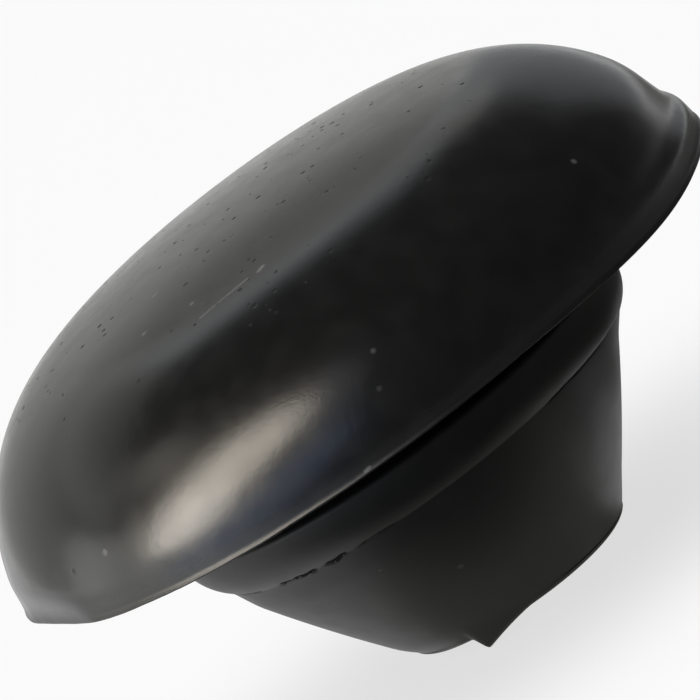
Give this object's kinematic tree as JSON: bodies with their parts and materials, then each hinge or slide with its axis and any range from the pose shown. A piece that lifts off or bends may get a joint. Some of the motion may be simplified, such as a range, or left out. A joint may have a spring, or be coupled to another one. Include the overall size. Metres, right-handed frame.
{
  "type": "sealing plug",
  "caption": "Push-in rubber hole plug: shallow domed head with a thin sealing lip, a groove for the panel's edge, a rounded snap-in collar and a tapered nose.",
  "frame": {"origin": "on the plug's axis, level with the tip of the nib that stands out of the nose's end face", "axes": "+Z along the plug's axis, from the nose to the crown of the head; the nib is on the -Y side"},
  "size_m": [0.025, 0.025, 0.0148],
  "materials": {
    "black_rubber": "semi-matte moulded rubber"
  },
  "bodies": {
    "root": {"sealing_plug": "black_rubber"}
  },
  "joints": []
}
